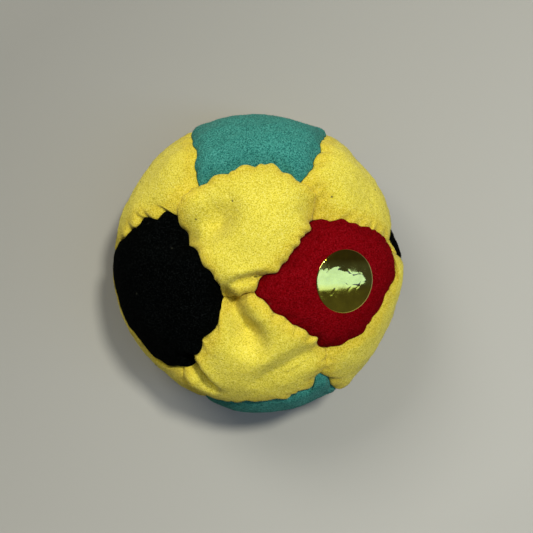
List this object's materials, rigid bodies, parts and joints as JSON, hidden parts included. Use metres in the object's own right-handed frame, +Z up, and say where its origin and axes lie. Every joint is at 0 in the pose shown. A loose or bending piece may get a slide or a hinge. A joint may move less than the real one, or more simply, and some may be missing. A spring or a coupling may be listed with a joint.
{
  "type": "footbag",
  "caption": "Hand-sewn suede footbag in yellow, black, red and teal, slumped on its flattened underside, with a small round foil seal.",
  "frame": {"origin": "centre of the bag's box, on the surface that it lies on", "axes": "+Z up, +X towards the black panel at the right, +Y towards the teal panel at the back"},
  "size_m": [0.06, 0.062, 0.0369],
  "materials": {
    "yellow_suede": "napped suede, slightly soiled",
    "black_suede": "napped suede",
    "red_suede": "napped suede",
    "teal_suede": "napped suede",
    "sewing_thread": "waxed thread",
    "loose_filling": "matt grains",
    "gold_foil": "mirror foil, creased"
  },
  "bodies": {
    "root": {"black_panel_left": "black_suede", "black_panel_right": "black_suede", "teal_panel_back": "teal_suede", "teal_panel_front": "teal_suede", "red_panel_top": "red_suede", "red_panel_under": "red_suede", "yellow_panel_left_back_top": "yellow_suede", "yellow_panel_left_back_under": "yellow_suede", "yellow_panel_left_front_top": "yellow_suede", "yellow_panel_left_front_under": "yellow_suede", "yellow_panel_right_back_top": "yellow_suede", "yellow_panel_right_back_under": "yellow_suede", "yellow_panel_right_front_top": "yellow_suede", "yellow_panel_right_front_under": "yellow_suede", "black_left_seam_thread": "sewing_thread", "black_right_seam_thread": "sewing_thread", "teal_back_seam_thread": "sewing_thread", "teal_front_seam_thread": "sewing_thread", "red_top_seam_thread": "sewing_thread", "red_under_seam_thread": "sewing_thread", "short_seam_thread_black_left_red_top": "sewing_thread", "short_seam_thread_black_left_red_under": "sewing_thread", "short_seam_thread_black_left_teal_back": "sewing_thread", "short_seam_thread_black_left_teal_front": "sewing_thread", "short_seam_thread_black_right_red_top": "sewing_thread", "short_seam_thread_black_right_red_under": "sewing_thread", "short_seam_thread_black_right_teal_back": "sewing_thread", "short_seam_thread_black_right_teal_front": "sewing_thread", "short_seam_thread_red_top_teal_back": "sewing_thread", "short_seam_thread_red_top_teal_front": "sewing_thread", "short_seam_thread_red_under_teal_back": "sewing_thread", "short_seam_thread_red_under_teal_front": "sewing_thread", "filling": "loose_filling", "foil_seal": "gold_foil"}
  },
  "joints": []
}
